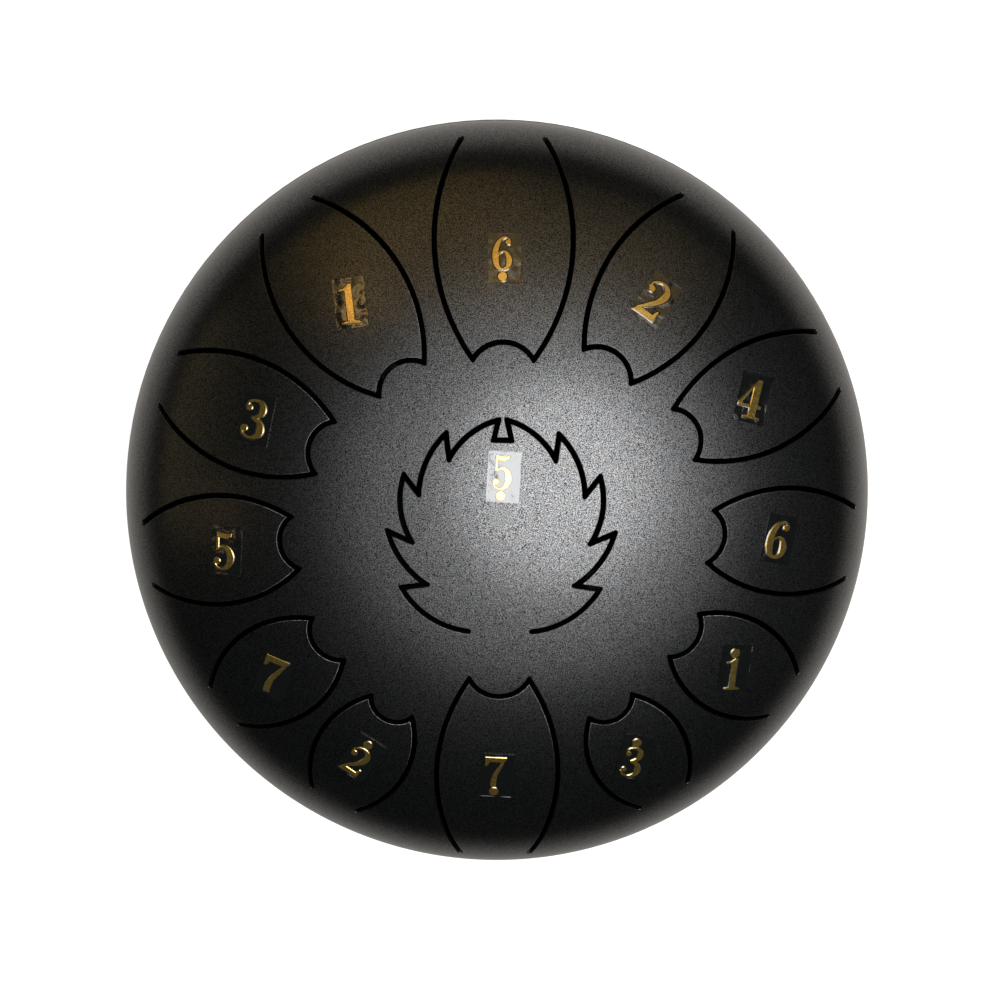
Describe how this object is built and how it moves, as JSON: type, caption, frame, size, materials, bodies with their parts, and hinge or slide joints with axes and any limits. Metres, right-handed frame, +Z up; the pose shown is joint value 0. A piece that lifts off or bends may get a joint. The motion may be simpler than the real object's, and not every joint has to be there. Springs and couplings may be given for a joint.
{
  "type": "steel tongue drum",
  "caption": "Round hollow steel drum with petal tongues and a leaf tongue cut into its domed top, numbered labels, a sound port below and rubber feet.",
  "frame": {"origin": "on the floor under the middle of the drum, at the level of the feet", "axes": "+Z up through the middle of the dome, +X to the player's right, +Y away from the player, towards the longest petal tongue"},
  "size_m": [0.306, 0.306, 0.1705],
  "materials": {
    "powder_coated_steel": "satin charcoal powder coat with a fine grain",
    "weld_bead": "painted weld bead",
    "label_film": "clear glossy film",
    "gold_print": "gold resin print",
    "foot_rubber": "matt black rubber",
    "zinc_steel": "zinc plated"
  },
  "bodies": {
    "shell": {"upper_shell": "powder_coated_steel", "lower_shell": "powder_coated_steel", "rim_weld": "weld_bead", "foot_1": "foot_rubber", "foot_2": "foot_rubber", "foot_3": "foot_rubber", "foot_4": "foot_rubber", "foot_screws": "zinc_steel", "foot_washers": "zinc_steel", "foot_nuts": "zinc_steel"},
    "tongue_low_5": {"tongue_low_5": "powder_coated_steel", "label_film_low_5": "label_film", "numeral_low_5": "gold_print"},
    "tongue_low_6": {"tongue_low_6": "powder_coated_steel", "label_film_low_6": "label_film", "numeral_low_6": "gold_print"},
    "tongue_low_7": {"tongue_low_7": "powder_coated_steel", "label_film_low_7": "label_film", "numeral_low_7": "gold_print"},
    "tongue_1": {"tongue_1": "powder_coated_steel", "label_film_1": "label_film", "numeral_1": "gold_print"},
    "tongue_2": {"tongue_2": "powder_coated_steel", "label_film_2": "label_film", "numeral_2": "gold_print"},
    "tongue_3": {"tongue_3": "powder_coated_steel", "label_film_3": "label_film", "numeral_3": "gold_print"},
    "tongue_4": {"tongue_4": "powder_coated_steel", "label_film_4": "label_film", "numeral_4": "gold_print"},
    "tongue_5": {"tongue_5": "powder_coated_steel", "label_film_5": "label_film", "numeral_5": "gold_print"},
    "tongue_6": {"tongue_6": "powder_coated_steel", "label_film_6": "label_film", "numeral_6": "gold_print"},
    "tongue_7": {"tongue_7": "powder_coated_steel", "label_film_7": "label_film", "numeral_7": "gold_print"},
    "tongue_high_1": {"tongue_high_1": "powder_coated_steel", "label_film_high_1": "label_film", "numeral_high_1": "gold_print"},
    "tongue_high_2": {"tongue_high_2": "powder_coated_steel", "label_film_high_2": "label_film", "numeral_high_2": "gold_print"},
    "tongue_high_3": {"tongue_high_3": "powder_coated_steel", "label_film_high_3": "label_film", "numeral_high_3": "gold_print"}
  },
  "joints": [
    {"name": "tongue_low_5_flex", "type": "hinge", "parent": "shell", "child": "tongue_low_5", "pos_m": [0, -0.04405, 0.1648], "axis": [1, 0, 0], "range_deg": [-0.5, 0.5], "stiffness_Nm_per_rad": 11, "springref_deg": 0.12},
    {"name": "tongue_low_6_flex", "type": "hinge", "parent": "shell", "child": "tongue_low_6", "pos_m": [0, 0.14275, 0.11465], "axis": [-1, 0, 0], "range_deg": [-0.5, 0.5], "stiffness_Nm_per_rad": 15.13, "springref_deg": 0.08},
    {"name": "tongue_low_7_flex", "type": "hinge", "parent": "shell", "child": "tongue_low_7", "pos_m": [0, -0.1423, 0.11533], "axis": [1, 0, 0], "range_deg": [-0.5, 0.5], "stiffness_Nm_per_rad": 11.15, "springref_deg": 0.08},
    {"name": "tongue_1_flex", "type": "hinge", "parent": "shell", "child": "tongue_1", "pos_m": [-0.08383, 0.11125, 0.11935], "axis": [-0.7986, -0.6018, 0], "range_deg": [-0.5, 0.5], "stiffness_Nm_per_rad": 9.8, "springref_deg": 0.09},
    {"name": "tongue_2_flex", "type": "hinge", "parent": "shell", "child": "tongue_2", "pos_m": [0.08016, 0.11448, 0.11879], "axis": [-0.8192, 0.5736, 0], "range_deg": [-0.5, 0.5], "stiffness_Nm_per_rad": 7.65, "springref_deg": 0.1},
    {"name": "tongue_3_flex", "type": "hinge", "parent": "shell", "child": "tongue_3", "pos_m": [-0.12991, 0.04728, 0.12058], "axis": [-0.342, -0.9397, 0], "range_deg": [-0.5, 0.5], "stiffness_Nm_per_rad": 5.9, "springref_deg": 0.1},
    {"name": "tongue_4_flex", "type": "hinge", "parent": "shell", "child": "tongue_4", "pos_m": [0.12904, 0.05745, 0.11682], "axis": [-0.4067, 0.9135, 0], "range_deg": [-0.5, 0.5], "stiffness_Nm_per_rad": 5.77, "springref_deg": 0.1},
    {"name": "tongue_5_flex", "type": "hinge", "parent": "shell", "child": "tongue_5", "pos_m": [-0.13862, -0.02196, 0.11803], "axis": [0.1564, -0.9877, 0], "range_deg": [-0.5, 0.5], "stiffness_Nm_per_rad": 4.62, "springref_deg": 0.11},
    {"name": "tongue_6_flex", "type": "hinge", "parent": "shell", "child": "tongue_6", "pos_m": [0.13958, -0.01467, 0.11803], "axis": [0.1045, 0.9945, 0], "range_deg": [-0.5, 0.5], "stiffness_Nm_per_rad": 4.23, "springref_deg": 0.11},
    {"name": "tongue_7_flex", "type": "hinge", "parent": "shell", "child": "tongue_7", "pos_m": [-0.10778, -0.08121, 0.12404], "axis": [0.6018, -0.7986, 0], "range_deg": [-0.5, 0.5], "stiffness_Nm_per_rad": 2.54, "springref_deg": 0.13},
    {"name": "tongue_high_1_flex", "type": "hinge", "parent": "shell", "child": "tongue_high_1", "pos_m": [0.11366, -0.07523, 0.1227], "axis": [0.5519, 0.8339, 0], "range_deg": [-0.5, 0.5], "stiffness_Nm_per_rad": 2.41, "springref_deg": 0.13},
    {"name": "tongue_high_2_flex", "type": "hinge", "parent": "shell", "child": "tongue_high_2", "pos_m": [-0.06439, -0.1186, 0.12404], "axis": [0.8788, -0.4772, 0], "range_deg": [-0.5, 0.5], "stiffness_Nm_per_rad": 1.84, "springref_deg": 0.14},
    {"name": "tongue_high_3_flex", "type": "hinge", "parent": "shell", "child": "tongue_high_3", "pos_m": [0.06672, -0.11557, 0.12543], "axis": [0.866, 0.5, 0], "range_deg": [-0.5, 0.5], "stiffness_Nm_per_rad": 1.66, "springref_deg": 0.15}
  ]
}
